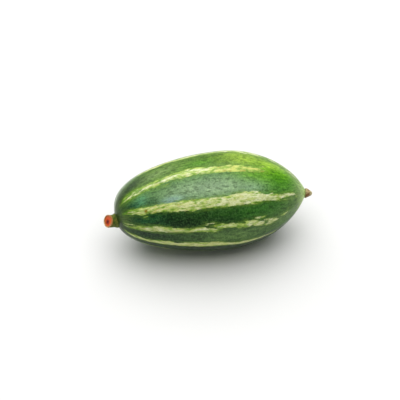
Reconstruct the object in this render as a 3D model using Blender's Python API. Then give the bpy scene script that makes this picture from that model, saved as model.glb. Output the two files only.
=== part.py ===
# Pointed gourd: a striped, ribbed fruit lying on its side, with the cut stub of its stem and
# the dried remnant of its blossom. Metres, +Z up. The fruit lies along X with the stem end at
# -X, and the origin is under the middle of the whole thing, on the surface that it lies on.
from math import atan2, cos, pi, radians, sin, sqrt

import bmesh
import bpy
from mathutils import Matrix, Vector

MM = 0.001
GAP = 0.3 * MM  # between neighbouring pieces

# The fruit's body, a long egg. The fullness powers make the stem end blunt and broad and
# the blossom end more pointed.
BODY_LENGTH = 77.4 * MM
BELLY_RADIUS = 20.1 * MM
BELLY_SHARE = 0.553  # where the belly is widest, as a share of the length from the stem end
STEM_END_POWER, STEM_END_FULLNESS = 1.70, 0.387
TIP_END_POWER, TIP_END_FULLNESS = 2.13, 0.685
# How far the middle of each end drops out of line with the middle of the belly
STEM_END_DROP = Vector((0.0, -0.30, -0.42)) * MM
TIP_END_DROP = Vector((0.0, -0.09, -0.13)) * MM
NIPPLE_HEIGHT, NIPPLE_RADIUS = 0.3 * MM, 2.4 * MM

# Ten soft ribs run from end to end, one under each pale stripe. An angle is taken about X
# from the horizontal at -Y, and grows towards +Z. The middle of a panel faces down, at 270.
RIB_ANGLES = (12.0, 44.0, 82.5, 118.5, 158.0, 204.0, 250.0, 290.0, 314.0, 346.0)
PANEL_DEPTH = 0.32 * MM  # how far the middle of a panel lies below the round of the ribs
RIB_SOFTNESS = 0.16  # 0 is a sharp crease along each rib
SIDES_PER_PANEL = 6
RINGS = 44

# The flat spot that the fruit rests on is cut this far into the round of the ribs
FLAT_DEPTH = PANEL_DEPTH + 0.60 * MM

# The stem stub follows a short bend, whose points are taken from the middle of the stem end
STUB_START = Vector((1.6, -2.7, -1.6)) * MM
STUB_BEND = Vector((-1.4, -3.7, -1.1)) * MM
STUB_CUT = Vector((-3.1, -4.55, 0.2)) * MM
STUB_SIDES = 24
# Each ring of the stub: its share of the way along the bend, and its radius
STUB_RINGS = (
    (0.00, 2.40 * MM),
    (0.30, 2.40 * MM),
    (0.55, 2.42 * MM),
    (0.75, 2.50 * MM),
    (0.90, 2.62 * MM),
    (0.97, 2.58 * MM),
    (1.00, 2.45 * MM),
)
CUT_RIM, CUT_DEPTH = 0.45 * MM, 0.35 * MM  # the rim's width, and how far the cut face sinks

# The blossom tip is taken from the middle of the blossom end
TIP_START = Vector((-1.4, -0.2, -0.25)) * MM
TIP_DIRECTION = Vector((0.985, -0.12, -0.12)).normalized()
TIP_SIDES = 12
# Each ring of the tip: its distance from the start, and its radius
TIP_RINGS = (
    (0.00 * MM, 1.15 * MM),
    (1.00 * MM, 1.20 * MM),
    (1.30 * MM, 1.95 * MM),
    (1.90 * MM, 1.82 * MM),
    (2.85 * MM, 1.25 * MM),
    (3.75 * MM, 0.75 * MM),
    (4.10 * MM, 0.45 * MM),
)


def clear_scene():
    for thing in list(bpy.data.objects):
        bpy.data.objects.remove(thing)


def make_material(name, colour, roughness):
    material = bpy.data.materials.new(name)
    material.use_nodes = True
    shader = material.node_tree.nodes["Principled BSDF"]
    shader.inputs["Base Color"].default_value = (*colour, 1.0)
    shader.inputs["Roughness"].default_value = roughness
    shader.inputs["Metallic"].default_value = 0.0
    return material


def make_object(name, bm, material):
    bmesh.ops.recalc_face_normals(bm, faces=bm.faces)
    mesh = bpy.data.meshes.new(name)
    bm.to_mesh(mesh)
    bm.free()
    mesh.materials.append(material)
    mesh.shade_smooth()
    mesh.set_sharp_from_angle(angle=radians(40.0))
    thing = bpy.data.objects.new(name, mesh)
    bpy.context.scene.collection.objects.link(thing)
    return thing


def body_radius(share):
    """The radius of the ribs' round at a share of the length from the stem end."""
    if share < BELLY_SHARE:
        away = (BELLY_SHARE - share) / BELLY_SHARE
        return BELLY_RADIUS * max(0.0, 1.0 - away**STEM_END_POWER) ** STEM_END_FULLNESS
    away = (share - BELLY_SHARE) / (1.0 - BELLY_SHARE)
    return BELLY_RADIUS * max(0.0, 1.0 - away**TIP_END_POWER) ** TIP_END_FULLNESS


def end_drop(share):
    """How far the body's middle line lies below that of the belly."""
    drop = STEM_END_DROP if share < 0.5 else TIP_END_DROP
    return drop * (2.0 * share - 1.0) ** 2


def rib_angle(turn):
    """The angle at a turn counted in panels, so that each whole number is a rib."""
    panel = int(turn) % len(RIB_ANGLES)
    start = RIB_ANGLES[panel]
    end = RIB_ANGLES[(panel + 1) % len(RIB_ANGLES)]
    width = (end - start) % 360.0
    return radians(start + width * (turn - int(turn)))


def panel_hollow(turn):
    """0 on a rib and 1 in the middle of a panel, with soft creases."""
    wave = sqrt(sin(pi * turn) ** 2 + RIB_SOFTNESS**2) - RIB_SOFTNESS
    return wave / (sqrt(1.0 + RIB_SOFTNESS**2) - RIB_SOFTNESS)


def skin_point(turn, share):
    round_radius = body_radius(share)
    radius = round_radius - PANEL_DEPTH * panel_hollow(turn) * round_radius / BELLY_RADIUS
    angle = rib_angle(turn)
    along = (share - 0.5) * BODY_LENGTH
    if share > BELLY_SHARE:
        along += NIPPLE_HEIGHT * 2.0 ** (-((radius / NIPPLE_RADIUS) ** 2))
    around = Vector((along, -radius * cos(angle), radius * sin(angle)))
    return around + end_drop(share)


def make_fruit(material):
    """A UV sphere whose rows become the rings of the fruit and whose columns its ribs."""
    sides = SIDES_PER_PANEL * len(RIB_ANGLES)
    bm = bmesh.new()
    bmesh.ops.create_uvsphere(bm, u_segments=sides, v_segments=RINGS, radius=1.0)
    for vertex in bm.verts:
        x, y, z = vertex.co
        share = (1.0 - max(-1.0, min(1.0, z))) / 2.0
        column = round(atan2(y, x) / (2.0 * pi) * sides)
        vertex.co = skin_point((column % sides) / SIDES_PER_PANEL, share)
    return make_object("fruit", bm, material)


def bridge_rings(bm, rings, sides):
    """Joins circles, given as (place, direction, radius), into a tube closed at both ends."""
    loops = []
    for number, (place, direction, radius) in enumerate(rings):
        turn = Vector((0.0, 0.0, 1.0)).rotation_difference(direction).to_matrix().to_4x4()
        closed = number in (0, len(rings) - 1)
        made = bmesh.ops.create_circle(
            bm,
            cap_ends=closed,
            segments=sides,
            radius=radius,
            matrix=Matrix.Translation(place) @ turn,
        )
        corners = set(made["verts"])
        loops.append([e for e in bm.edges if e.verts[0] in corners and e.verts[1] in corners])
    for near, far in zip(loops, loops[1:]):
        bmesh.ops.bridge_loops(bm, edges=near + far)


def stub_place(share):
    near = STUB_START.lerp(STUB_BEND, share)
    far = STUB_BEND.lerp(STUB_CUT, share)
    return near.lerp(far, share), (far - near).normalized()


def stem_end():
    return Vector((-BODY_LENGTH / 2.0, 0.0, 0.0)) + STEM_END_DROP


def tip_start():
    return Vector((BODY_LENGTH / 2.0 + NIPPLE_HEIGHT, 0.0, 0.0)) + TIP_END_DROP + TIP_START


def make_stem_stub(material):
    rings = []
    for share, radius in STUB_RINGS:
        place, direction = stub_place(share)
        rings.append((stem_end() + place, direction, radius))
    cut_place, cut_direction, cut_radius = rings[-1]
    sunk = cut_place - cut_direction * CUT_DEPTH
    rings.append((sunk, cut_direction, cut_radius - CUT_RIM))
    bm = bmesh.new()
    bridge_rings(bm, rings, STUB_SIDES)
    return make_object("stem_stub", bm, material)


def make_blossom_tip(material):
    start = tip_start()
    rings = [(start + TIP_DIRECTION * way, TIP_DIRECTION, radius) for way, radius in TIP_RINGS]
    bm = bmesh.new()
    bridge_rings(bm, rings, TIP_SIDES)
    return make_object("blossom_tip", bm, material)


def make_cutter(name, bm):
    mesh = bpy.data.meshes.new(name)
    bm.to_mesh(mesh)
    bm.free()
    cutter = bpy.data.objects.new(name, mesh)
    bpy.context.scene.collection.objects.link(cutter)
    cutter.hide_render = True
    cutter.display_type = "WIRE"
    return cutter


def socket_cutter(name, floor, direction, radius, sides):
    """A round hole that a piece's root stands in, from its floor out past the skin."""
    reach = 4.0 * MM
    turn = Vector((0.0, 0.0, 1.0)).rotation_difference(direction).to_matrix().to_4x4()
    middle = floor + direction * reach / 2.0
    bm = bmesh.new()
    bmesh.ops.create_cone(
        bm,
        cap_ends=True,
        segments=sides,
        radius1=radius,
        radius2=radius,
        depth=reach,
        matrix=Matrix.Translation(middle) @ turn,
    )
    return make_cutter(name, bm)


def floor_cutter():
    """A block whose top face is the surface that the fruit lies on."""
    size = BODY_LENGTH
    top = FLAT_DEPTH - BELLY_RADIUS
    bm = bmesh.new()
    bmesh.ops.create_cube(bm, size=size, matrix=Matrix.Translation((0, 0, top - size / 2.0)))
    return make_cutter("flat_cutter", bm), top


def cut(thing, cutter):
    boolean = thing.modifiers.new(cutter.name, "BOOLEAN")
    boolean.operation = "DIFFERENCE"
    boolean.solver = "EXACT"
    boolean.object = cutter


def cut_sockets(fruit):
    place, direction = stub_place(0.0)
    floor = stem_end() + place - direction * GAP
    root_radius = STUB_RINGS[1][1]
    stub_socket = socket_cutter("stub_socket", floor, direction, root_radius + GAP, STUB_SIDES)
    floor = tip_start() - TIP_DIRECTION * GAP
    tip_socket = socket_cutter("tip_socket", floor, TIP_DIRECTION, TIP_RINGS[1][1] + GAP, TIP_SIDES)
    cut(fruit, stub_socket)
    cut(fruit, tip_socket)
    return [stub_socket, tip_socket]


def stand_on_origin(pieces, cutters, floor_height):
    """Moves everything so that the middle of the pieces' box, on the floor, is the origin."""
    corners = [vertex.co for piece in pieces for vertex in piece.data.vertices]
    middle_x = (min(c.x for c in corners) + max(c.x for c in corners)) / 2.0
    middle_y = (min(c.y for c in corners) + max(c.y for c in corners)) / 2.0
    shift = Matrix.Translation((-middle_x, -middle_y, -floor_height))
    for thing in pieces + cutters:
        thing.data.transform(shift)


def main():
    clear_scene()
    skin = make_material("green_skin", (0.045, 0.130, 0.030), 0.40)
    stem = make_material("olive_stem", (0.120, 0.110, 0.025), 0.60)
    dried = make_material("dried_blossom", (0.250, 0.170, 0.070), 0.75)
    fruit = make_fruit(skin)
    stem_stub = make_stem_stub(stem)
    blossom_tip = make_blossom_tip(dried)
    flat_cutter, floor_height = floor_cutter()
    cut(fruit, flat_cutter)
    cutters = [flat_cutter, *cut_sockets(fruit)]
    stand_on_origin([fruit, stem_stub, blossom_tip], cutters, floor_height)


main()
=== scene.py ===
import math

import bpy
import numpy as np
from mathutils import Matrix, Vector, noise


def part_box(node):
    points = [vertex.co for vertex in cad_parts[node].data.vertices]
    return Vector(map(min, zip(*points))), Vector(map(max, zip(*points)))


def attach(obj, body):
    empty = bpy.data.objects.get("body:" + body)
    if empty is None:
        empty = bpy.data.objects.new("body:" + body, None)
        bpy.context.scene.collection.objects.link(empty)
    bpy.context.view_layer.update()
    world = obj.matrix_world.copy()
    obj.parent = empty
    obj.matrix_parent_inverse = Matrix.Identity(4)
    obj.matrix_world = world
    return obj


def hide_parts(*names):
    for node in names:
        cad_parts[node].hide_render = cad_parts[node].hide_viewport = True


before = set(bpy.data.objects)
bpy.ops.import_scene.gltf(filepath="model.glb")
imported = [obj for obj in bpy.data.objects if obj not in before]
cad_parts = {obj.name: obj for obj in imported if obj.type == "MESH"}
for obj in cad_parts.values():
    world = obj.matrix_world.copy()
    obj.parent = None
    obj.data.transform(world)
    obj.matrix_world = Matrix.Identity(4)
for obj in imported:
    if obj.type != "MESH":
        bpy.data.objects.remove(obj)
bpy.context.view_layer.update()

mm = 0.001
tiny = 1e-6  # metres, keeps divisions safe on the axis
farOutside = -30.0  # mm, further from a marking than any part of the skin


def toLinear(hexColour):  # sRGB hex to the linear numbers that shaders take, with a full alpha
    channels = [int(hexColour[i:i + 2], 16) / 255 for i in (1, 3, 5)]
    return (*[c / 12.92 if c < 0.04045 else ((c + 0.055) / 1.055) ** 2.4 for c in channels], 1.0)


def addNode(tree, kind, settings=None, links=None):
    # settings name sockets or properties, links name sockets and the outputs that feed them
    node = tree.nodes.new(kind)
    for name, value in (settings or {}).items():
        if isinstance(name, int) or name in node.inputs:
            node.inputs[name].default_value = value
        else:
            setattr(node, name, value)
    for name, output in (links or {}).items():
        tree.links.new(output, node.inputs[name])
    return node


def newMaterial(name):
    material = bpy.data.materials.new(name)
    material.use_nodes = True
    tree = material.node_tree
    return material, tree, tree.nodes["Principled BSDF"]


def mixColours(tree, factor, first, second, blend="MIX"):
    # first and second are outputs, or hex colours; the colour sockets share their names, so by number
    mix = addNode(tree, "ShaderNodeMix", {"data_type": "RGBA", "blend_type": blend})
    for socket, value in ((6, first), (7, second)):
        if isinstance(value, str):
            mix.inputs[socket].default_value = toLinear(value)
        else:
            tree.links.new(value, mix.inputs[socket])
    if isinstance(factor, (int, float)):
        mix.inputs[0].default_value = factor
    else:
        tree.links.new(factor, mix.inputs[0])
    return mix.outputs[2]


def addMath(tree, operation, first, second, third=None):
    node = addNode(tree, "ShaderNodeMath", {"operation": operation})
    for socket, value in enumerate((first, second, third)):
        if isinstance(value, (int, float)):
            node.inputs[socket].default_value = value
        elif value is not None:
            tree.links.new(value, node.inputs[socket])
    return node.outputs[0]


def remap(tree, value, low, high, toLow=0.0, toHigh=1.0):
    # its number sockets in order: value, from low, from high, to low, to high
    settings = {"interpolation_type": "SMOOTHSTEP", 1: low, 2: high, 3: toLow, 4: toHigh}
    return addNode(tree, "ShaderNodeMapRange", settings, {0: value}).outputs[0]


def attribute(tree, name, output="Fac"):
    return addNode(tree, "ShaderNodeAttribute", {"attribute_name": name}).outputs[output]


def noiseAt(tree, place, sizeMm, detail, roughness):  # noise whose features have this real size
    settings = {"Scale": 1 / (sizeMm * mm), "Detail": detail, "Roughness": roughness}
    return addNode(tree, "ShaderNodeTexNoise", settings, {"Vector": place}).outputs["Fac"]


def patches(tree, place, kind, toLow=0.0, toHigh=1.0):
    # kind is a noise's size in mm, detail and roughness, and the levels where the patches start and end
    size, detail, roughness, low, high = kind
    return remap(tree, noiseAt(tree, place, size, detail, roughness), low, high, toLow, toHigh)


def addBump(tree, shader, height, look):
    settings = {"Strength": look["bumpStrength"], "Distance": look["bumpDistance"]}
    bump = addNode(tree, "ShaderNodeBump", settings, {"Height": height})
    tree.links.new(bump.outputs[0], shader.inputs["Normal"])


def stretched(tree, lengthRatio):  # Object coordinates whose patterns run long along the fruit
    place = addNode(tree, "ShaderNodeTexCoord").outputs["Object"]
    scale = (1 / lengthRatio, 1, 1)
    return addNode(tree, "ShaderNodeMapping", {"Scale": scale}, {"Vector": place}).outputs[0]


def grainPlace(tree, lengthRatio):  # the skin's own grain, run along the stripes
    place = attribute(tree, "skinGrain", "Vector")
    scale = (1 / lengthRatio, 1, 1)
    return addNode(tree, "ShaderNodeMapping", {"Scale": scale}, {"Vector": place}).outputs[0]


def editStart(piece):
    bpy.ops.object.select_all(action="DESELECT")
    piece.select_set(True)
    bpy.context.view_layer.objects.active = piece
    bpy.ops.object.mode_set(mode="EDIT")


def editEnd():
    bpy.ops.object.mode_set(mode="OBJECT")


def smoothOver(piece, levels):
    piece.modifiers.new("finer", "SUBSURF")
    piece.modifiers["finer"].levels = levels
    piece.modifiers["finer"].render_levels = levels
    bpy.ops.object.modifier_apply(modifier="finer")


def vertexPlaces(piece):
    flat = np.empty(len(piece.data.vertices) * 3)
    piece.data.vertices.foreach_get("co", flat)
    return flat.reshape(-1, 3)


def setPlaces(piece, places):
    piece.data.vertices.foreach_set("co", np.ascontiguousarray(places, dtype=np.float32).ravel())
    piece.data.update()


def paint(piece, name, values, kind="FLOAT", field="value"):
    # a number, vector or colour for every vertex, which the material reads
    layer = piece.data.attributes.new(name, kind, "POINT")
    layer.data.foreach_set(field, np.ascontiguousarray(values, dtype=np.float32).ravel())


def startRound(name, shape):  # a filled circle of the shape's first radius, open for editing
    bpy.ops.object.select_all(action="DESELECT")
    radius = shape["rings"][0][1] * mm
    bpy.ops.mesh.primitive_circle_add(vertices=shape["sides"], radius=radius, fill_type="NGON")
    piece = bpy.context.active_object
    piece.name = piece.data.name = name
    editStart(piece)
    bpy.ops.mesh.select_all(action="SELECT")
    return piece


def extrudeRings(rings, unit):  # pulls the circle up through rings of height and radius
    for (height, was), (nextHeight, now) in zip(rings, rings[1:]):
        rise = (0, 0, (nextHeight - height) * unit)
        bpy.ops.mesh.extrude_region_move(TRANSFORM_OT_translate={"value": rise})
        middle = (0, 0, nextHeight * unit)
        bpy.ops.transform.resize(value=(now / was, now / was, 1), center_override=middle)


def endRound(piece, shape):
    bpy.ops.mesh.select_all(action="SELECT")
    bpy.ops.mesh.normals_make_consistent(inside=False)
    editEnd()
    smoothOver(piece, shape["finer"])


def growth(shape, x, y, phase, grainHeight):  # how much its folds and lumps widen a point's radius
    out = math.hypot(x, y)
    fold = shape["foldDepth"] * math.cos(shape["folds"] * math.atan2(y, x) + phase)
    fold = fold * min(1, out / shape["foldFade"])
    lump = shape["lumpHeight"] * noise.noise(Vector((x, y, grainHeight)) / shape["lumpSize"])
    return 1 + (fold + lump) / max(out, shape["steadyRadius"])


# The fruit's skin

fruitShape = {
    "length": 77.4 * mm,
    "bellyRadius": 20.1 * mm,
    "bellyShare": 0.553,
    "stemPower": 1.70,
    "stemFullness": 0.387,
    "tipPower": 2.13,
    "tipFullness": 0.685,
    "stemDrop": (0.0, -0.30 * mm, -0.42 * mm),
    "tipDrop": (0.0, -0.09 * mm, -0.13 * mm),
    "nippleHeight": 0.3 * mm,
    "nippleRadius": 2.4 * mm,
    "ribAngles": (12.0, 44.0, 82.5, 118.5, 158.0, 204.0, 250.0, 290.0, 314.0, 346.0),
    "panelDepth": 0.32 * mm,
    "ribSoftness": 0.16,
    "segments": 80,
    "rings": 50,
    "finer": 2,
    "waveHeight": 0.16 * mm,  # the slight unevenness of a grown skin
    "waveSize": 11 * mm,
    "waveSink": 0.3,  # share of the wave height by which the whole skin lies lower
}


def bodyRadius(share):
    shape = fruitShape
    belly = shape["bellyShare"]
    back = np.clip((belly - share) / belly, 0, 1)
    ahead = np.clip((share - belly) / (1 - belly), 0, 1)
    stemSide = (1 - back ** shape["stemPower"]) ** shape["stemFullness"]
    tipSide = (1 - ahead ** shape["tipPower"]) ** shape["tipFullness"]
    return shape["bellyRadius"] * np.where(share < belly, stemSide, tipSide)


def turnOf(angle):  # degrees around, to a count of panels with a whole number on each rib
    ribs = fruitShape["ribAngles"]
    fromFirst = [rib - ribs[0] for rib in ribs] + [360]
    return np.interp((angle - ribs[0]) % 360, fromFirst, range(len(fromFirst)))


def panelHollow(turn):
    soft = fruitShape["ribSoftness"]
    wave = np.sqrt(np.sin(np.pi * turn) ** 2 + soft ** 2) - soft
    return wave / (math.sqrt(1 + soft ** 2) - soft)


def makeSkin():
    shape = fruitShape
    bpy.ops.object.select_all(action="DESELECT")
    bpy.ops.mesh.primitive_uv_sphere_add(segments=shape["segments"], ring_count=shape["rings"],
                                         radius=shape["bellyRadius"])
    skin = bpy.context.active_object
    skin.name = skin.data.name = "gourdSkin"
    editStart(skin)
    bpy.ops.mesh.select_all(action="SELECT")
    # the poles go to the two ends of the fruit
    bpy.ops.transform.rotate(value=math.radians(90), orient_axis="Y", center_override=(0, 0, 0))
    editEnd()
    smoothOver(skin, shape["finer"])
    x, y, z = vertexPlaces(skin).T
    around = np.degrees(np.arctan2(z, -y)) % 360
    share = (1 + np.sin(np.arctan2(x, np.hypot(y, z)))) / 2
    roundRadius = bodyRadius(share)
    hollow = shape["panelDepth"] * panelHollow(turnOf(around)) * roundRadius / shape["bellyRadius"]
    radius = roundRadius - hollow
    along = (share - 0.5) * shape["length"]
    nipple = shape["nippleHeight"] * 2.0 ** (-((radius / shape["nippleRadius"]) ** 2))
    along = along + np.where(share > shape["bellyShare"], nipple, 0)
    angle = np.radians(around)
    places = np.stack([along, -radius * np.cos(angle), radius * np.sin(angle)], axis=1)
    outward = places * (0, 1, 1) / np.maximum(radius, tiny)[:, None]
    lumps = np.array([noise.noise(Vector(p) / shape["waveSize"]) for p in places])
    fade = (roundRadius / shape["bellyRadius"])[:, None]
    places = places + outward * (lumps[:, None] - shape["waveSink"]) * shape["waveHeight"] * fade
    drop = np.where((share < 0.5)[:, None], shape["stemDrop"], shape["tipDrop"])
    places = places + drop * ((2 * share - 1) ** 2)[:, None]
    return skin, places, share, around, roundRadius


def seatSkin(places):  # moves the skin to where the frame has the fruit, and flattens its rest
    low, high = (np.array(c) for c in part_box("fruit"))
    shift = np.array([low[0] - places[:, 0].min(),
                      (low[1] + high[1] - places[:, 1].min() - places[:, 1].max()) / 2,
                      high[2] - places[:, 2].max()])
    places = places + shift
    places[:, 2] = np.maximum(places[:, 2], 0.0)
    return places, shift


# Stripes gather round a line that starts beside the stem and joins the fruit's axis further on
pattern = {
    "pole": (-3.4 * mm, 0.9 * mm),  # that line's start, y and z from the axis
    "poleReach": 0.30,  # share of the length where it has joined the axis
    "grainRadius": 14 * mm,
    "stemClear": (3.2, 6.2),  # mm from the line, between which the stripes start
    "changeOver": 0.1,  # share of a panel in which its green turns into the next one's
    "plainGold": ((0, 0.1), (1, 0.1)),  # for a stripe that states none
    "fleckTaper": 0.5,
    "fleckGold": 0.1,
    "fleckBroken": 0.2,
    "lengthSteps": 2001,
}

# Each stripe: stations of share along, angle around and half width in mm, then how cream and how
# golden it is along its length, and how broken up
stripes = {
    "lowFront": {
        "run": ((0.035, 4.5, 0.2), (0.09, 8.9, 0.65), (0.14, 10.6, 0.95), (0.19, 12.2, 1.3),
                (0.24, 11.8, 1.15), (0.29, 11.4, 0.95), (0.35, 11.4, 0.95), (0.385, 11.4, 0.8),
                (0.42, 12.4, 1.15), (0.45, 11.2, 0.9), (0.49, 9.6, 0.6), (0.52, 9, -0.5)),
        "cream": ((0.1, 0.1), (0.15, 0.65), (0.2, 0.6), (0.28, 0.35), (0.38, 0.4), (0.45, 0.55)),
        "broken": 0.0},
    "lowFrontTwin": {
        "run": ((0.035, 13.0, 0.0), (0.09, 15.0, 0.25), (0.16, 15.6, 0.3), (0.21, 15.0, 0.45),
                (0.26, 13, 0.3)),
        "cream": ((0.1, 0.2), (0.25, 0.4)), "broken": 0.0},
    "lowFrontFar": {
        "run": ((0.46, 16, -0.3), (0.50, 14.6, 0.85), (0.56, 15, 1.0), (0.60, 13.5, 1.05),
                (0.65, 12, 0.95), (0.69, 12, 0.6), (0.72, 11, -0.2)),
        "cream": ((0.5, 0.3), (0.65, 0.4)), "broken": 0.2},
    "highFront": {
        "run": ((0.03, 50.0, 0.3), (0.07, 47.9, 0.95), (0.11, 45.8, 1.3), (0.14, 45.7, 1.4),
                (0.19, 45.2, 1.55), (0.24, 44.6, 1.55), (0.29, 43.9, 1.9), (0.35, 42.9, 2.3),
                (0.40, 42.9, 2.4), (0.45, 43.1, 1.95), (0.50, 43.2, 2.0), (0.56, 43.2, 2.1),
                (0.60, 44.6, 2.3), (0.65, 44.8, 2.55), (0.71, 45, 1.95), (0.75, 43, 1.35),
                (0.80, 41.2, 1.3), (0.85, 41.6, 0.85), (0.89, 43.2, 0.7), (0.92, 42, 0.4),
                (0.94, 38, -0.4)),
        "cream": ((0.05, -0.1), (0.09, 0.0), (0.13, 0.35), (0.22, 0.45), (0.29, 0.35), (0.35, 0.6),
                  (0.41, 0.4), (0.45, 0.4), (0.48, 0.75), (0.52, 0.85), (0.6, 1.0), (0.75, 0.9),
                  (0.82, 0.5), (0.9, 1.0)),
        "gold": ((0.05, 0.1), (0.15, 0.4), (0.35, 0.3), (0.5, 0.1), (0.62, 0.2), (0.7, 0.0)),
        "broken": 0.1},
    "crown": {
        "run": ((0.035, 87, 0.0), (0.06, 87, 1.3), (0.09, 85.5, 1.6), (0.14, 83.6, 1.6),
                (0.20, 83.8, 1.3), (0.25, 83.6, 1.35), (0.29, 83.4, 1.45), (0.34, 83.8, 1.6),
                (0.38, 85.2, 2.05), (0.42, 84.8, 2.0), (0.46, 83.6, 1.65), (0.50, 82.8, 1.65),
                (0.60, 82.2, 1.8), (0.65, 81.5, 1.75), (0.70, 81.5, 1.35), (0.75, 80.5, 0.8),
                (0.79, 79.5, -0.2)),
        "cream": ((0.06, -0.1), (0.12, -0.05), (0.17, 0.2), (0.3, 0.2), (0.34, 0.15), (0.39, 0.6),
                  (0.43, 0.5), (0.48, 0.2), (0.54, 0.5), (0.6, 0.35), (0.72, 0.2)),
        "gold": ((0.04, 0.2), (0.15, 0.0), (0.46, 0.0), (0.53, 0.7), (0.75, 0.9)), "broken": 0.1},
    "highBack": {
        "run": ((0.11, 127, -0.4), (0.16, 125.5, 0.9), (0.22, 123, 1.3), (0.30, 120.5, 1.3),
                (0.40, 119.5, 1.2), (0.50, 119.5, 1.2), (0.60, 120, 1.6), (0.70, 120, 2.3),
                (0.80, 119, 2.6), (0.88, 114, 2.6), (0.95, 102, 2.0)),
        "cream": ((0.15, 0.8), (0.3, 0.5), (0.5, 0.3), (0.7, 0.2), (0.9, -0.2)),
        "gold": ((0.15, 0.0), (0.3, 0.5), (0.45, 0.0)), "broken": 0.3},
    "midBack": {
        "run": ((0.04, 156, 0.2), (0.10, 157, 1.0), (0.30, 159, 1.8), (0.45, 158, 1.5),
                (0.62, 158, 1.9), (0.78, 158, 1.2), (0.90, 158, -0.2)),
        "cream": ((0.1, 0.1), (0.4, 0.6), (0.7, 0.5)), "broken": 0.3},
    "lowBack": {
        "run": ((0.04, 202, 0.2), (0.12, 203, 0.8), (0.28, 205, 0.9), (0.50, 204, 1.3),
                (0.70, 203, 0.8), (0.90, 204, 0.3), (0.94, 204, -0.4)),
        "cream": ((0.1, 0.1), (0.5, 0.7), (0.8, 0.4)), "broken": 0.5},
    "underBack": {
        "run": ((0.05, 249, 0.2), (0.20, 250, 1.1), (0.45, 251, 1.4), (0.65, 250, 1.1),
                (0.85, 250, 0.5), (0.92, 250, -0.3)),
        "cream": ((0.1, 0.1), (0.5, 0.8), (0.8, 0.3)), "broken": 0.3},
    "under": {
        "run": ((0.05, 290, 0.2), (0.20, 290.5, 0.9), (0.50, 289.5, 1.2), (0.75, 290, 0.9),
                (0.92, 290, -0.3)),
        "cream": ((0.1, 0.2), (0.5, 0.8), (0.8, 0.5)), "broken": 0.4},
    "underFront": {
        "run": ((0.05, 311, 0.2), (0.20, 313, 0.9), (0.50, 313, 1.1), (0.72, 313, 0.8),
                (0.90, 312, -0.3)),
        "cream": ((0.1, 0.1), (0.5, 0.6), (0.8, 0.4)), "broken": 0.35},
    "skirtFront": {
        "run": ((0.04, 337, 0.3), (0.09, 338, 0.9), (0.14, 340, 1.1), (0.20, 343.5, 1.25),
                (0.25, 344.9, 1.25), (0.30, 344.5, 1.2), (0.36, 345.6, 1.45), (0.40, 346.0, 1.6),
                (0.50, 346.5, 1.5), (0.55, 345.2, 1.25), (0.60, 343.8, 1.05), (0.70, 341.6, 1.0),
                (0.75, 340, 0.75), (0.80, 335, 0.5), (0.86, 332, -0.3)),
        "cream": ((0.1, 0.3), (0.3, 0.8), (0.5, 1.0), (0.7, 0.5)),
        "gold": ((0.2, 0.4), (0.5, 0.5), (0.7, 0.2)), "broken": 0.1},
}

# Loose flecks beside the stripes: share and angle from and to, half width in mm, cream
flecks = (
    (0.43, 18.5, 0.49, 19.5, 0.32, 0.6),
    (0.64, 17.5, 0.665, 13.5, 0.60, 0.4),
    (0.66, 15.5, 0.70, 14.5, 0.80, 0.6),
    (0.69, 19.0, 0.745, 18.0, 0.55, 0.8),
    (0.69, 11.0, 0.735, 9.5, 1.3, 0.85),
    (0.735, 14.0, 0.80, 9.0, 0.45, 1.0),
    (0.765, 8.2, 0.815, 6.2, 1.25, 0.8),
    (0.73, 5.5, 0.80, 3.4, 0.7, 0.2),
    (0.84, 9.5, 0.875, 10.5, 0.60, 0.7),
    (0.865, 13.0, 0.885, 16.0, 0.32, 0.5),
    (0.50, 49.8, 0.54, 50.2, 0.28, 0.5),
    (0.785, 47.0, 0.80, 48.0, 0.35, 0.6),
    (0.79, 38.5, 0.815, 37.0, 0.28, 0.0),
    (0.66, 37.0, 0.73, 37.5, 0.20, 0.0),
    (0.83, 36.0, 0.88, 35.0, 0.18, 0.1),
    (0.92, 42.0, 0.935, 36.0, 0.30, 0.3),
    (0.74, 87.0, 0.775, 88.5, 0.50, 0.2),
    (0.20, 76.5, 0.28, 75.0, 0.28, 0.1),
    (0.14, 34.3, 0.17, 35.0, 0.16, 0.0),
    (0.12, 77.5, 0.22, 77.8, 0.35, 0.0),
)

# Small scars on the skin: share, angle and radius in mm
blemishes = ((0.152, 44.8, 0.75), (0.612, 83.5, 0.35), (0.43, 214.0, 0.5), (0.7, 171.0, 0.4))

# The green of each panel, starting with the one above the first rib; the ninth, on the underside from 314
# to 346 degrees, is painted darker as shade
panelGreensAndUndersideShade = ("#0d3408", "#3a6726", "#466822", "#42691f", "#2f5a18", "#264f16", "#2b5518",
               "#234a13", "#0d2607", "#15360d")
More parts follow.
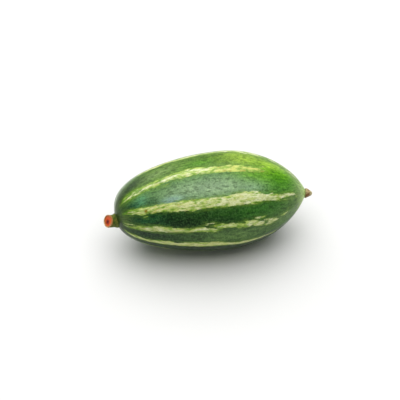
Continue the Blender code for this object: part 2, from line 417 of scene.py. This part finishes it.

# Places where the green drifts, some of them painted highlights and a painted reflection rather than the
# skin's own green: share along, degrees around, reach of each, and strength
greenDriftsAndPaintedLight = {
    # painted highlights: these three stand in for the broad soft shine of the wax on the upper shoulder,
    # painted into the green
    "paintedHighlightOnShoulder": ("#7d9574", 0.48, 61, 0.28, 14, 0.78),
    "paintedHighlightBeforeTip": ("#7d9a7c", 0.70, 55, 0.05, 7, 0.5),
    "bluishPaintedHighlight": ("#86a0a4", 0.28, 52, 0.06, 5, 0.55),
    "greenBeforeHighlight": ("#1a4520", 0.182, 57, 0.055, 10, 0.82),
    "seaGreenByStem": ("#508666", 0.135, 66, 0.03, 10, 0.6),
    "deepInDark": ("#021602", 0.31, 22, 0.15, 10, 0.75),
    "tealByStem": ("#0c4e40", 0.085, 57, 0.045, 11, 0.95),
    "deepByStem": ("#052608", 0.06, 54, 0.04, 12, 0.9),
    "tealInDark": ("#083c20", 0.14, 28, 0.105, 14, 0.85),
    "brightInDark": ("#265f16", 0.76, 28, 0.15, 14, 0.8),
    "lighterInDark": ("#2a5a18", 0.53, 35, 0.09, 8, 0.45),
    "mossBeforeTip": ("#587a38", 0.90, 33, 0.04, 9, 0.7),
    "yellowOnTop": ("#8cac3a", 0.665, 103, 0.095, 16, 0.75),
    "limeByTip": ("#7aac22", 0.80, 84, 0.06, 13, 0.85),
    "limeBehindTip": ("#a8cc42", 0.825, 93, 0.07, 10, 0.85),
    "freshUnderCrown": ("#508a00", 0.71, 75, 0.1, 10, 0.85),
    "brightByTip": ("#347400", 0.85, 72, 0.10, 26, 0.92),
    "sunnyByTip": ("#5c9a10", 0.88, 84, 0.04, 10, 0.65),
    "freshOverCrown": ("#4e8a1c", 0.44, 98, 0.07, 6, 0.5),
    "ashOnBack": ("#6e8654", 0.22, 102, 0.12, 9, 0.6),
    "violetByStem": ("#2b372c", 0.085, 108, 0.09, 13, 0.9),
    "greyByTip": ("#54793a", 0.88, 0, 0.12, 25, 0.76),
    "slateByStem": ("#13231a", 0.11, 0, 0.12, 10, 0.85),
    "mossInFront": ("#56783c", 0.60, -1, 0.21, 11, 0.8),
    "paleByTip": ("#9cba6c", 1.0, 60, 0.053, 400, 0.95),
    "oliveByStem": ("#66843e", 0.04, 28, 0.03, 14, 0.75),
    "mossByStem": ("#26360f", 0.0, 0, 0.07, 400, 0.88),
    # painted reflection: a pale strip along the upper edge by the stem, where the skin reflects the bright
    # surroundings
    "paintedRimReflectionByStem": ("#98a591", 0.055, 137, 0.13, 11.5, 0.95),
}


def patternPlace(share, around, roundRadius):  # degrees and mm from the line the stripes gather round
    fade = np.clip(1 - share / pattern["poleReach"], 0, 1)
    angle = np.radians(around)
    y = -roundRadius * np.cos(angle) - pattern["pole"][0] * fade
    z = roundRadius * np.sin(angle) - pattern["pole"][1] * fade
    return np.degrees(np.arctan2(z, -y)) % 360, np.hypot(y, z) / mm


def degreesApart(first, second):
    return (first - second + 180) % 360 - 180


def stripeEdges(share, angle, reach):  # for each stripe and fleck, mm inside its edge
    lengthMm = fruitShape["length"] / mm
    clear = np.clip((reach - pattern["stemClear"][0]) / np.diff(pattern["stemClear"]), 0, 1)
    for stripe in stripes.values():
        shares, angles, halves = zip(*stripe["run"])
        away = np.radians(np.abs(degreesApart(angle, np.interp(share, shares, angles)))) * reach
        half = np.interp(share, shares, halves) * clear - (1 - clear)
        cream = np.interp(share, *zip(*stripe["cream"]))
        gold = np.interp(share, *zip(*stripe.get("gold", pattern["plainGold"])))
        past = np.clip(np.maximum(shares[0] - share, share - shares[-1]), 0, 1) * lengthMm
        yield half - away - past, cream, gold, stripe["broken"]
    for shareFrom, angleFrom, shareTo, angleTo, half, cream in flecks:
        way = np.clip((share - shareFrom) / (shareTo - shareFrom), 0, 1)
        middle = angleFrom + (angleTo - angleFrom) * way
        across = np.radians(degreesApart(angle, middle)) * reach
        past = (share - shareFrom - (shareTo - shareFrom) * way) * lengthMm
        taper = 1 - pattern["fleckTaper"] * (2 * way - 1) ** 2
        edge = half * taper - np.hypot(across, past)
        yield edge, cream, pattern["fleckGold"], pattern["fleckBroken"]


def paintSkin(skin, share, around, roundRadius):
    angle, reach = patternPlace(share, around, roundRadius)
    names = ("stripeEdge", "stripeCream", "stripeGold", "stripeBroken")
    nearest = np.zeros((len(names), len(share)))  # what the nearest stripe has of each
    nearest[0] = farOutside
    for itsOwn in stripeEdges(share, angle, reach):
        nearest = np.where(itsOwn[0] > nearest[0], np.array(np.broadcast_arrays(*itsOwn)), nearest)
    for name, values in zip(names, nearest):
        paint(skin, name, values)
    paint(skin, "blemish", blemishDepth(share, angle, reach))
    grain = np.stack([skinLength(share), np.cos(np.radians(angle)), np.sin(np.radians(angle))], axis=1)
    grain = grain * (1, pattern["grainRadius"], pattern["grainRadius"])
    paint(skin, "skinGrain", grain, "FLOAT_VECTOR", "vector")
    paint(skin, "skinGreenAndPaintedLight", panelColourAndPaintedLight(share, angle), "FLOAT_COLOR", "color")


def blemishDepth(share, angle, reach):  # mm inside the nearest scar's edge
    depth = np.full(len(share), farOutside)
    for atShare, atAngle, radius in blemishes:
        across = np.radians(degreesApart(angle, atAngle)) * reach
        away = np.hypot(across, (share - atShare) * fruitShape["length"] / mm)
        depth = np.maximum(depth, radius - away)
    return depth


def skinLength(share):  # metres along the skin from the stem end
    steps = np.linspace(0, 1, pattern["lengthSteps"])
    rise = np.diff(bodyRadius(steps))
    run = np.diff(steps) * fruitShape["length"]
    return np.interp(share, steps, np.concatenate([[0], np.cumsum(np.hypot(rise, run))]))


def panelColourAndPaintedLight(share, angle):
    greens = np.array([toLinear(green) for green in panelGreensAndUndersideShade])
    turn = turnOf(angle)
    inPanel = np.floor(turn).astype(int) % len(greens)
    within = (turn - np.floor(turn))[:, None]
    last = greens[(inPanel - 1) % len(greens)]
    following = greens[(inPanel + 1) % len(greens)]
    # the greens change over under the stripes, half of the way on either side
    fromLast = 0.5 * np.clip(1 - within / pattern["changeOver"], 0, 1)
    toNext = 0.5 * np.clip(1 - (1 - within) / pattern["changeOver"], 0, 1)
    colour = greens[inPanel] * (1 - fromLast - toNext) + last * fromLast + following * toNext
    for green, atShare, atAngle, shareReach, angleReach, strength in greenDriftsAndPaintedLight.values():
        alongOff = (share - atShare) / shareReach
        aroundOff = degreesApart(angle, atAngle) / angleReach
        amount = (strength * np.exp(-alongOff ** 2 - aroundOff ** 2))[:, None]
        colour = colour + (np.array(toLinear(green)) - colour) * amount
    return colour


# How the skin looks. Patches: size in mm, detail, roughness, and the noise levels where they start
# and end. Plain noises have the first three only. An edge is mm inside the stripe's own edge.
skinLook = {
    "grainStretch": 2.6,  # how much longer than wide the marks are
    "threadStretch": 5.0,
    # the panels: lighter cells, streaks and clouds over the green, then darker cells
    "speckle": (0.55, 2.0, 0.6, 0.42, 0.64),
    "cloud": (2.4, 3.0, 0.6, 0.42, 0.60),
    "streak": (0.7, 3.0, 0.7, 0.49, 0.62),
    "shadow": (0.75, 3.0, 0.7, 0.52, 0.37),
    "lightHue": 0.485,
    "lightValue": 2.0,
    "speckleLight": 0.42,
    "cloudLight": 0.26,
    "streakLight": 0.34,
    "cellGreen": "#6d9a5c",
    "cellAmount": 0.16,
    "shadowTint": "#8c9c7e",
    "shadowAmount": 0.6,
    # the ragged edges of the stripes, each shift in mm
    "waver": (3.0, 2.0, 0.5),
    "splinter": (0.6, 3.0, 0.7),
    "fray": (0.6, 2.0, 0.7),
    "gap": (1.8, 2.0, 0.5, 0.52, 0.62),
    "waverShift": 0.9,
    "splinterShift": 1.7,
    "frayShift": 0.9,
    "gapShift": -1.2,
    "calmInside": (0.1, 1.1, 1.0, 0.4),  # edge from, to, and the share of the shift there
    "edgeBand": (-0.14, 0.26),
    "haloPatch": (0.9, 3.0, 0.7, 0.42, 0.60),
    "haloAmount": (0.1, 0.65),
    "haloBand": (-1.5, 0.1),
    "haloGreen": "#62842a",
    # inside them: yellow-green cells under cream fibres
    "mottle": (1.0, 3.0, 0.65, 0.36, 0.60),
    "ripeBand": (0.0, 0.35),  # cream over which the young greens turn into the ripe ones
    "youngCells": ("#40700f", "#7da23a"),
    "ripeCells": ("#729830", "#b2c864"),
    "fibre": (0.75, 3.0, 0.65),
    "fibrePerCream": 0.16,
    "fibrePerMottle": 0.06,
    "fibreCore": (0.1, 1.2, -0.05, 0.05),  # edge from, to, and what it adds there
    "fibreBand": (0.53, 0.73),
    "fibreAmount": 0.9,
    "shade": (0.9, 3.0, 0.7, 0.40, 0.60),
    "creams": ("#c2c88c", "#e2e6bc"),
    "goldCream": "#c6c95a",
    "tanPatch": (1.1, 2.0, 0.5, 0.56, 0.66),
    "tanPlain": 0.14,
    "tanPerGold": 0.45,
    "tan": "#a8903c",
    "thread": (0.5, 2.0, 0.6, 0.43, 0.35),
    "threadAmount": 0.35,
    "threadGreen": "#4a7424",
    # scars
    "scarFray": 0.9,
    "scarBand": (-0.3, 0.5),
    "scar": "#80701c",
    # the wax and the small relief
    "gloss": (1.5, 3.0, 0.5, 0.3, 0.7),
    "roughness": (0.28, 0.40),
    "ior": 1.45,
    "sheen": 0.20,  # the dull bloom takes off some shine
    "cells": (0.8, 2.0, 0.5),
    "dimples": (2.6, 2.0, 0.5),
    "cellHeight": 0.5,
    "dimpleHeight": 1.2,
    "stripeHeight": 0.4,
    "bumpStrength": 0.6,
    "bumpDistance": 0.08 * mm,
}


def waxySkinMaterial():
    # Waxy gourd skin: thin clear wax over mottled green, which gives a broad soft shine
    look = skinLook
    material, tree, shader = newMaterial("waxyGourdSkin")
    plain = grainPlace(tree, 1.0)
    grain = grainPlace(tree, look["grainStretch"])
    long = grainPlace(tree, look["threadStretch"])
    edge = attribute(tree, "stripeEdge")
    gold = attribute(tree, "stripeGold")
    panel = panelTone(tree, plain, grain, long)
    ragged, fray = raggedEdge(tree, edge, grain, long)
    stripe = remap(tree, ragged, *look["edgeBand"])
    haloPatches = patches(tree, long, look["haloPatch"], *look["haloAmount"])
    halo = addMath(tree, "MULTIPLY", remap(tree, ragged, *look["haloBand"]), haloPatches)
    colour = mixColours(tree, halo, panel, look["haloGreen"])
    colour = mixColours(tree, stripe, colour, stripeTone(tree, edge, gold, grain, long))
    scarEdge = addMath(tree, "MULTIPLY_ADD", fray, look["scarFray"], attribute(tree, "blemish"))
    colour = mixColours(tree, remap(tree, scarEdge, *look["scarBand"]), colour, look["scar"])
    tree.links.new(colour, shader.inputs["Base Color"])

    roughness = patches(tree, plain, look["gloss"], *look["roughness"])
    tree.links.new(roughness, shader.inputs["Roughness"])
    shader.inputs["IOR"].default_value = look["ior"]
    shader.inputs["Specular IOR Level"].default_value = look["sheen"]

    # skin cells and slight dimples, with the stripes a hair proud
    cells = noiseAt(tree, plain, *look["cells"])
    dimples = addMath(tree, "MULTIPLY", noiseAt(tree, grain, *look["dimples"]), look["dimpleHeight"])
    height = addMath(tree, "MULTIPLY_ADD", cells, look["cellHeight"], dimples)
    height = addMath(tree, "MULTIPLY_ADD", stripe, look["stripeHeight"], height)
    addBump(tree, shader, height, look)
    return material


def panelTone(tree, plain, grain, long):  # fine speckles of lighter and darker cells, wider clouds
    look = skinLook
    # the skin's green, with its painted highlights, painted reflection and the painted shade of the
    # underside
    green = attribute(tree, "skinGreenAndPaintedLight", "Color")
    lighter = {"Hue": look["lightHue"], "Value": look["lightValue"]}
    light = addNode(tree, "ShaderNodeHueSaturation", lighter, {"Color": green}).outputs[0]
    speckle = patches(tree, plain, look["speckle"])
    cloud = patches(tree, grain, look["cloud"])
    streak = patches(tree, long, look["streak"])
    lightAmount = addMath(tree, "MULTIPLY", cloud, look["cloudLight"])
    lightAmount = addMath(tree, "MULTIPLY_ADD", speckle, look["speckleLight"], lightAmount)
    lightAmount = addMath(tree, "MULTIPLY_ADD", streak, look["streakLight"], lightAmount)
    panel = mixColours(tree, lightAmount, green, light)
    cellAmount = addMath(tree, "MULTIPLY", speckle, look["cellAmount"])
    panel = mixColours(tree, cellAmount, panel, look["cellGreen"])
    dark = mixColours(tree, 1.0, green, look["shadowTint"], "MULTIPLY")
    darkAmount = patches(tree, grain, look["shadow"], 0.0, look["shadowAmount"])
    return mixColours(tree, darkAmount, panel, dark)


def raggedEdge(tree, edge, grain, long):  # a slight waver, splinters along the fruit, and a fine fray
    look = skinLook
    fray = addMath(tree, "SUBTRACT", noiseAt(tree, grain, *look["fray"]), 0.5)
    waver = addMath(tree, "SUBTRACT", noiseAt(tree, grain, *look["waver"]), 0.5)
    splinter = addMath(tree, "SUBTRACT", noiseAt(tree, long, *look["splinter"]), 0.5)
    shift = addMath(tree, "MULTIPLY", waver, look["waverShift"])
    shift = addMath(tree, "MULTIPLY_ADD", splinter, look["splinterShift"], shift)
    shift = addMath(tree, "MULTIPLY_ADD", fray, look["frayShift"], shift)
    ragged = addMath(tree, "MULTIPLY_ADD", shift, remap(tree, edge, *look["calmInside"]), edge)
    broken = attribute(tree, "stripeBroken")
    gaps = addMath(tree, "MULTIPLY", patches(tree, grain, look["gap"]), broken)
    return addMath(tree, "MULTIPLY_ADD", gaps, look["gapShift"], ragged), fray


def stripeTone(tree, edge, gold, grain, long):
    # cream fibres over yellow-green cells, the more fibres the creamier the stripe is
    look = skinLook
    cream = attribute(tree, "stripeCream")
    ripe = remap(tree, cream, *look["ripeBand"])
    mottle = patches(tree, grain, look["mottle"])
    # the darker cells, then the lighter ones
    tones = [mixColours(tree, ripe, *pair) for pair in zip(look["youngCells"], look["ripeCells"])]
    cells = mixColours(tree, mottle, *tones)
    fibre = noiseAt(tree, long, *look["fibre"])
    fibre = addMath(tree, "MULTIPLY_ADD", cream, look["fibrePerCream"], fibre)
    fibre = addMath(tree, "MULTIPLY_ADD", mottle, look["fibrePerMottle"], fibre)
    fibre = addMath(tree, "ADD", remap(tree, edge, *look["fibreCore"]), fibre)
    pale = mixColours(tree, patches(tree, grain, look["shade"]), *look["creams"])
    pale = mixColours(tree, gold, pale, look["goldCream"])
    fibreAmount = addMath(tree, "MULTIPLY", remap(tree, fibre, *look["fibreBand"]), look["fibreAmount"])
    tone = mixColours(tree, fibreAmount, cells, pale)
    tanShare = addMath(tree, "MULTIPLY_ADD", gold, look["tanPerGold"], look["tanPlain"])
    tanAmount = addMath(tree, "MULTIPLY", patches(tree, grain, look["tanPatch"]), tanShare)
    tone = mixColours(tree, tanAmount, tone, look["tan"])
    # thin dark threads of the panel's green run on through the stripes
    thread = patches(tree, long, look["thread"], 0.0, look["threadAmount"])
    return mixColours(tree, thread, tone, look["threadGreen"])


skin, skinPlaces, skinShare, skinAround, skinRadius = makeSkin()
skinPlaces, skinShift = seatSkin(skinPlaces)
setPlaces(skin, skinPlaces)
paintSkin(skin, skinShare, skinAround, skinRadius)
skin.data.materials.append(waxySkinMaterial())
skin.data.shade_smooth()
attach(skin, "root")
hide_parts("fruit")
print("skin made:", len(skin.data.polygons), "faces")


# The stem stub

stub = {
    "start": Vector((1.6, -2.7, -1.6)) * mm,
    "bend": Vector((-1.4, -3.7, -1.1)) * mm,
    "cut": Vector((-3.1, -4.55, 0.2)) * mm,
    "sides": 24,
    "finer": 2,
    # share of the way along, and radius in mm
    "rings": ((0.0, 2.4), (0.12, 3.0), (0.20, 3.1), (0.28, 2.85), (0.38, 2.6), (0.55, 2.46),
              (0.70, 2.5), (0.84, 2.62), (0.94, 2.64), (1.0, 2.45)),
    "rimFlat": 0.27 * mm,
    "rimSlope": 0.225 * mm,  # from the rim down into the cut
    "cutDepth": 0.40 * mm,
    "cupStep": 0.5 * mm,  # one more dip toward the middle
    "cupDepth": 0.08 * mm,
    "folds": 3,  # low ridges along the stub
    "foldDepth": 0.05 * mm,
    "foldPhase": 0.6,
    "foldFade": 1.8 * mm,  # radius inside which the ridges fade
    "lumpHeight": 0.10 * mm,
    "lumpSize": 1.3 * mm,
    "steadyRadius": 0.5 * mm,  # inside it a fold or lump widens no further
    # its colours, by share of its length and by mm across the cut face
    "pit": (-0.5, -0.13),  # the pith's middle, set low and to one side where the cup's inner wall is in shade
    "fleshMiddle": (0.22, 0.0),
    "streak": (0.9, 3.0, 0.5, 0.35, 0.65),
    "rind": ("#465c1a", "#6c7028"),
    "rindByCut": "#96652f",
    "byCutShare": (0.78, 0.95),
    "rim": ("#e0c49c", "#c08a58"),
    "rimShare": (0.94, 0.985),
    "rimRadius": (2.15, 2.45),
    # dark red of the pith, partly its own colour and partly painted shade in the cup
    "pithAndShade": "#640e00",
    "flesh": "#dc5520",
    "outerFlesh": "#cc602c",
    "blotch": (0.8, 3.0, 0.6),
    "blotchShift": 1.6,
    "pithBand": (0.4, 1.5),
    "fleshBand": (1.2, 2.1),
    "cutShare": (0.86, 0.9),
    "cutRadius": (2.15, 1.85),
    "roughness": (0.2, 0.8, 0.62, 0.34),  # from the dry rind to the moist cut
    "sheen": 0.25,
    "bumps": (0.45, 3.0, 0.6),
    "bumpStrength": 0.7,
    "bumpDistance": 0.10 * mm,
}


def stubPath(share):
    near = stub["start"].lerp(stub["bend"], share)
    far = stub["bend"].lerp(stub["cut"], share)
    return near.lerp(far, share), (far - near).normalized()


def awayFrom(points, middle):  # mm across the cut face from a place on it
    return np.hypot(points[:, 0] / mm - middle[0], points[:, 1] / mm - middle[1])


def makeStub():
    piece = startRound("stemStub", stub)
    # a straight stub first, a metre of height for its whole way, bent in its place below
    extrudeRings(stub["rings"], 1.0)
    length = (stub["cut"] - stub["start"]).length
    bpy.ops.mesh.inset(thickness=stub["rimFlat"], depth=0)
    bpy.ops.mesh.inset(thickness=stub["rimSlope"], depth=0)
    bpy.ops.transform.translate(value=(0, 0, -stub["cutDepth"] / length))
    bpy.ops.mesh.inset(thickness=stub["cupStep"], depth=0)
    bpy.ops.transform.translate(value=(0, 0, -stub["cupDepth"] / length))
    bpy.ops.mesh.inset(thickness=stub["cupStep"], depth=0)
    endRound(piece, stub)
    straight = vertexPlaces(piece)
    stemEnd = Vector((-fruitShape["length"] / 2, 0, 0)) + Vector(fruitShape["stemDrop"]) + Vector(skinShift)
    places = np.empty_like(straight)
    for i, (x, y, height) in enumerate(straight):
        share = max(0.0, min(1.0, height))
        place, direction = stubPath(share)
        place = place + direction * (height - share) * length
        turn = Vector((0, 0, 1)).rotation_difference(direction).to_matrix()
        grow = growth(stub, x, y, stub["foldPhase"], height * length)
        places[i] = stemEnd + place + turn @ Vector((x * grow, y * grow, 0))
    setPlaces(piece, places)
    paint(piece, "stubRadius", awayFrom(straight, stub["fleshMiddle"]))
    paint(piece, "stubPith", awayFrom(straight, stub["pit"]))
    paint(piece, "stubShare", straight[:, 2])
    return piece


def freshStemMaterial():
    # Fresh cut stem: dull olive rind, a tan corky rim, and a moist orange-red cut that glints
    material, tree, shader = newMaterial("freshCutStem")
    place = stretched(tree, 1.0)
    share = attribute(tree, "stubShare")
    radius = attribute(tree, "stubRadius")
    streak = patches(tree, place, stub["streak"])
    rind = mixColours(tree, streak, *stub["rind"])
    rind = mixColours(tree, remap(tree, share, *stub["byCutShare"]), rind, stub["rindByCut"])
    rimAmount = addMath(tree, "MULTIPLY", remap(tree, share, *stub["rimShare"]),
                        remap(tree, radius, *stub["rimRadius"]))
    colour = mixColours(tree, rimAmount, rind, mixColours(tree, streak, *stub["rim"]))
    # the flesh goes from orange by the rind to a dark red pith, partly the pith's own colour and partly
    # painted shade of the cup's inner wall
    blotch = addMath(tree, "SUBTRACT", noiseAt(tree, place, *stub["blotch"]), 0.5)
    depth = addMath(tree, "MULTIPLY_ADD", blotch, stub["blotchShift"], attribute(tree, "stubPith"))
    flesh = mixColours(tree, remap(tree, depth, *stub["pithBand"]), stub["pithAndShade"], stub["flesh"])
    flesh = mixColours(tree, remap(tree, depth, *stub["fleshBand"]), flesh, stub["outerFlesh"])
    onCut = addMath(tree, "MULTIPLY", remap(tree, radius, *stub["cutRadius"]),
                    remap(tree, share, *stub["cutShare"]))
    colour = mixColours(tree, onCut, colour, flesh)
    tree.links.new(colour, shader.inputs["Base Color"])
    tree.links.new(remap(tree, onCut, *stub["roughness"]), shader.inputs["Roughness"])
    shader.inputs["Specular IOR Level"].default_value = stub["sheen"]
    addBump(tree, shader, noiseAt(tree, place, *stub["bumps"]), stub)
    return material


stemStub = makeStub()
stemStub.data.materials.append(freshStemMaterial())
stemStub.data.shade_smooth()
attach(stemStub, "root")
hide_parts("stem_stub")
print("stem stub made")


# The blossom tip

tip = {
    "start": Vector((-1.4, -0.2, -0.25)) * mm,
    "direction": Vector((0.985, -0.12, -0.12)).normalized(),
    "sides": 20,
    "finer": 2,
    # distance from the start and radius, in mm
    "rings": ((0.0, 1.15), (0.85, 1.25), (1.05, 1.90), (1.40, 2.02), (1.9, 1.82), (2.6, 1.42),
              (3.3, 1.0), (3.85, 0.68), (4.12, 0.35)),
    "folds": 7,
    "foldDepth": 0.11 * mm,
    "foldTwist": 300,  # radians per metre of height
    "foldFade": 0.9 * mm,
    "lumpHeight": 0.12 * mm,
    "lumpSize": 0.7 * mm,
    "lumpStretch": 2,  # how much longer than wide the lumps are
    "steadyRadius": 0.3 * mm,
    # its colours, by height in mm
    "fibreStretch": 2.5,
    "streak": (0.5, 3.0, 0.5, 0.35, 0.65),
    "browns": ("#66441e", "#94703f"),
    # a painted highlight: the upper side paler, its edge broken up by the streaks
    "topHighlightPerStreak": 0.6,
    "topHighlightBand": (1.0, 1.8),
    "topHighlightAmount": 0.45,
    "topHighlight": "#ccbc8c",
    "paleBand": (2.4, 3.6),
    "paleAmount": 0.75,
    "pale": "#c8c090",
    "skirtBand": (1.6, 1.1),
    "skirtAmount": 0.6,
    "skirt": "#8a8a58",
    "roughness": 0.75,
    "bumps": (0.35, 3.0, 0.6),
    "bumpStrength": 0.8,
    "bumpDistance": 0.10 * mm,
}


def makeTip():
    piece = startRound("blossomTip", tip)
    extrudeRings(tip["rings"], mm)
    endRound(piece, tip)
    straight = vertexPlaces(piece)
    tipEnd = Vector((fruitShape["length"] / 2 + fruitShape["nippleHeight"], 0, 0))
    tipEnd += Vector(fruitShape["tipDrop"]) + Vector(skinShift)
    turn = Vector((0, 0, 1)).rotation_difference(tip["direction"]).to_matrix()
    places = np.empty_like(straight)
    for i, (x, y, height) in enumerate(straight):
        grow = growth(tip, x, y, tip["foldTwist"] * height, height / tip["lumpStretch"])
        places[i] = tipEnd + tip["start"] + turn @ Vector((x * grow, y * grow, height))
    setPlaces(piece, places)
    paint(piece, "tipHeight", straight[:, 2] / mm)
    paint(piece, "tipUpwardHeight", (places[:, 2] - places[:, 2].mean()) / mm)
    return piece


def driedBlossomMaterial():
    # Dried blossom remnant: papery brown tissue, matt, with a painted highlight that makes its upper side
    # paler
    material, tree, shader = newMaterial("driedBlossom")
    place = stretched(tree, tip["fibreStretch"])
    height = attribute(tree, "tipHeight")
    streak = patches(tree, place, tip["streak"])
    colour = mixColours(tree, streak, *tip["browns"])
    # how far up each point lies, which places the painted highlight on the upper side
    upwardHeight = attribute(tree, "tipUpwardHeight")
    topHighlight = addMath(tree, "MULTIPLY_ADD", streak, tip["topHighlightPerStreak"], upwardHeight)
    for value, part in ((topHighlight, "topHighlight"), (height, "pale"), (height, "skirt")):
        amount = addMath(tree, "MULTIPLY", remap(tree, value, *tip[part + "Band"]), tip[part + "Amount"])
        colour = mixColours(tree, amount, colour, tip[part])
    tree.links.new(colour, shader.inputs["Base Color"])
    shader.inputs["Roughness"].default_value = tip["roughness"]
    addBump(tree, shader, noiseAt(tree, place, *tip["bumps"]), tip)
    return material


blossomTip = makeTip()
blossomTip.data.materials.append(driedBlossomMaterial())
blossomTip.data.shade_smooth()
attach(blossomTip, "root")
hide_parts("blossom_tip")
print("blossom tip made")


# Floor, light and camera

studio = {
    "floorSize": 4.0,
    "floorDrop": 0.1 * mm,
    "floorGrey": "#dededd",
    "floorRoughness": 0.9,
    "floorSheen": 0.1,
    "worldGrey": "#ffffff",
    "worldStrength": 0.22,
    "backdropStrength": 1.0,
    "softboxSize": (3.3, 3.65),
    "softboxPlace": (0.0, 0.455, 1.92),
    "softboxAim": (0.0, 0.0, 0.02),
    "softboxPower": 97.0,
}


def makeFloor():
    bpy.ops.object.select_all(action="DESELECT")
    bpy.ops.mesh.primitive_plane_add(size=studio["floorSize"], location=(0, 0, -studio["floorDrop"]))
    floor = bpy.context.active_object
    floor.name = "floor"
    # Painted studio floor: matt, no shine to compete with the fruit's
    material, _, shader = newMaterial("paintedStudioFloor")
    shader.inputs["Base Color"].default_value = toLinear(studio["floorGrey"])
    shader.inputs["Roughness"].default_value = studio["floorRoughness"]
    shader.inputs["Specular IOR Level"].default_value = studio["floorSheen"]
    floor.data.materials.append(material)


def makeLight():
    world = bpy.data.worlds.new("studioAir")
    world.use_nodes = True
    tree = world.node_tree
    background = tree.nodes["Background"]
    background.inputs["Color"].default_value = toLinear(studio["worldGrey"])
    # the backdrop itself shows white, and lights the fruit only softly
    seen = addNode(tree, "ShaderNodeLightPath").outputs["Is Camera Ray"]
    strength = remap(tree, seen, 0.0, 1.0, studio["worldStrength"], studio["backdropStrength"])
    tree.links.new(strength, background.inputs["Strength"])
    bpy.context.scene.world = world
    lamp = bpy.data.lights.new("softbox", "AREA")
    lamp.shape = "RECTANGLE"
    lamp.size, lamp.size_y = studio["softboxSize"]
    lamp.energy = studio["softboxPower"]
    box = bpy.data.objects.new("softbox", lamp)
    bpy.context.scene.collection.objects.link(box)
    box.location = studio["softboxPlace"]
    aim = Vector(studio["softboxAim"]) - box.location
    box.rotation_euler = aim.to_track_quat("-Z", "Y").to_euler()


view = {
    "azimuth": -8.4,
    "elevation": 45.0,
    "lens": 100.0,
    "sensorWidth": 36.0,
    "frameWidth": 160.6 * mm,  # across the picture at the fruit
    "pictureSize": 400,
    "fruitPixel": (210.38, 200.4),  # where the middle of the fruit's box falls in the picture
}


def makeCamera():
    scene = bpy.context.scene
    scene.view_settings.view_transform = "Standard"
    azimuth, elevation = math.radians(view["azimuth"]), math.radians(view["elevation"])
    back = Vector((math.sin(azimuth) * math.cos(elevation),
                   -math.cos(azimuth) * math.cos(elevation), math.sin(elevation)))
    right = Vector((math.cos(azimuth), math.sin(azimuth), 0))
    up = back.cross(right)
    low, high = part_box("fruit")
    perPixel = view["frameWidth"] / view["pictureSize"]
    half = view["pictureSize"] / 2
    column, row = view["fruitPixel"]
    middle = (Vector(low) + Vector(high)) / 2
    middle = middle - right * (column - half) * perPixel + up * (row - half) * perPixel
    distance = view["frameWidth"] * view["lens"] / view["sensorWidth"]
    lens = bpy.data.cameras.new("studioCamera")
    lens.lens = view["lens"]
    lens.sensor_width = view["sensorWidth"]
    camera = bpy.data.objects.new("studioCamera", lens)
    scene.collection.objects.link(camera)
    facing = Matrix((right, up, back)).transposed().to_4x4()
    camera.matrix_world = Matrix.Translation(middle + back * distance) @ facing
    scene.camera = camera


makeFloor()
makeLight()
makeCamera()
print("studio made")
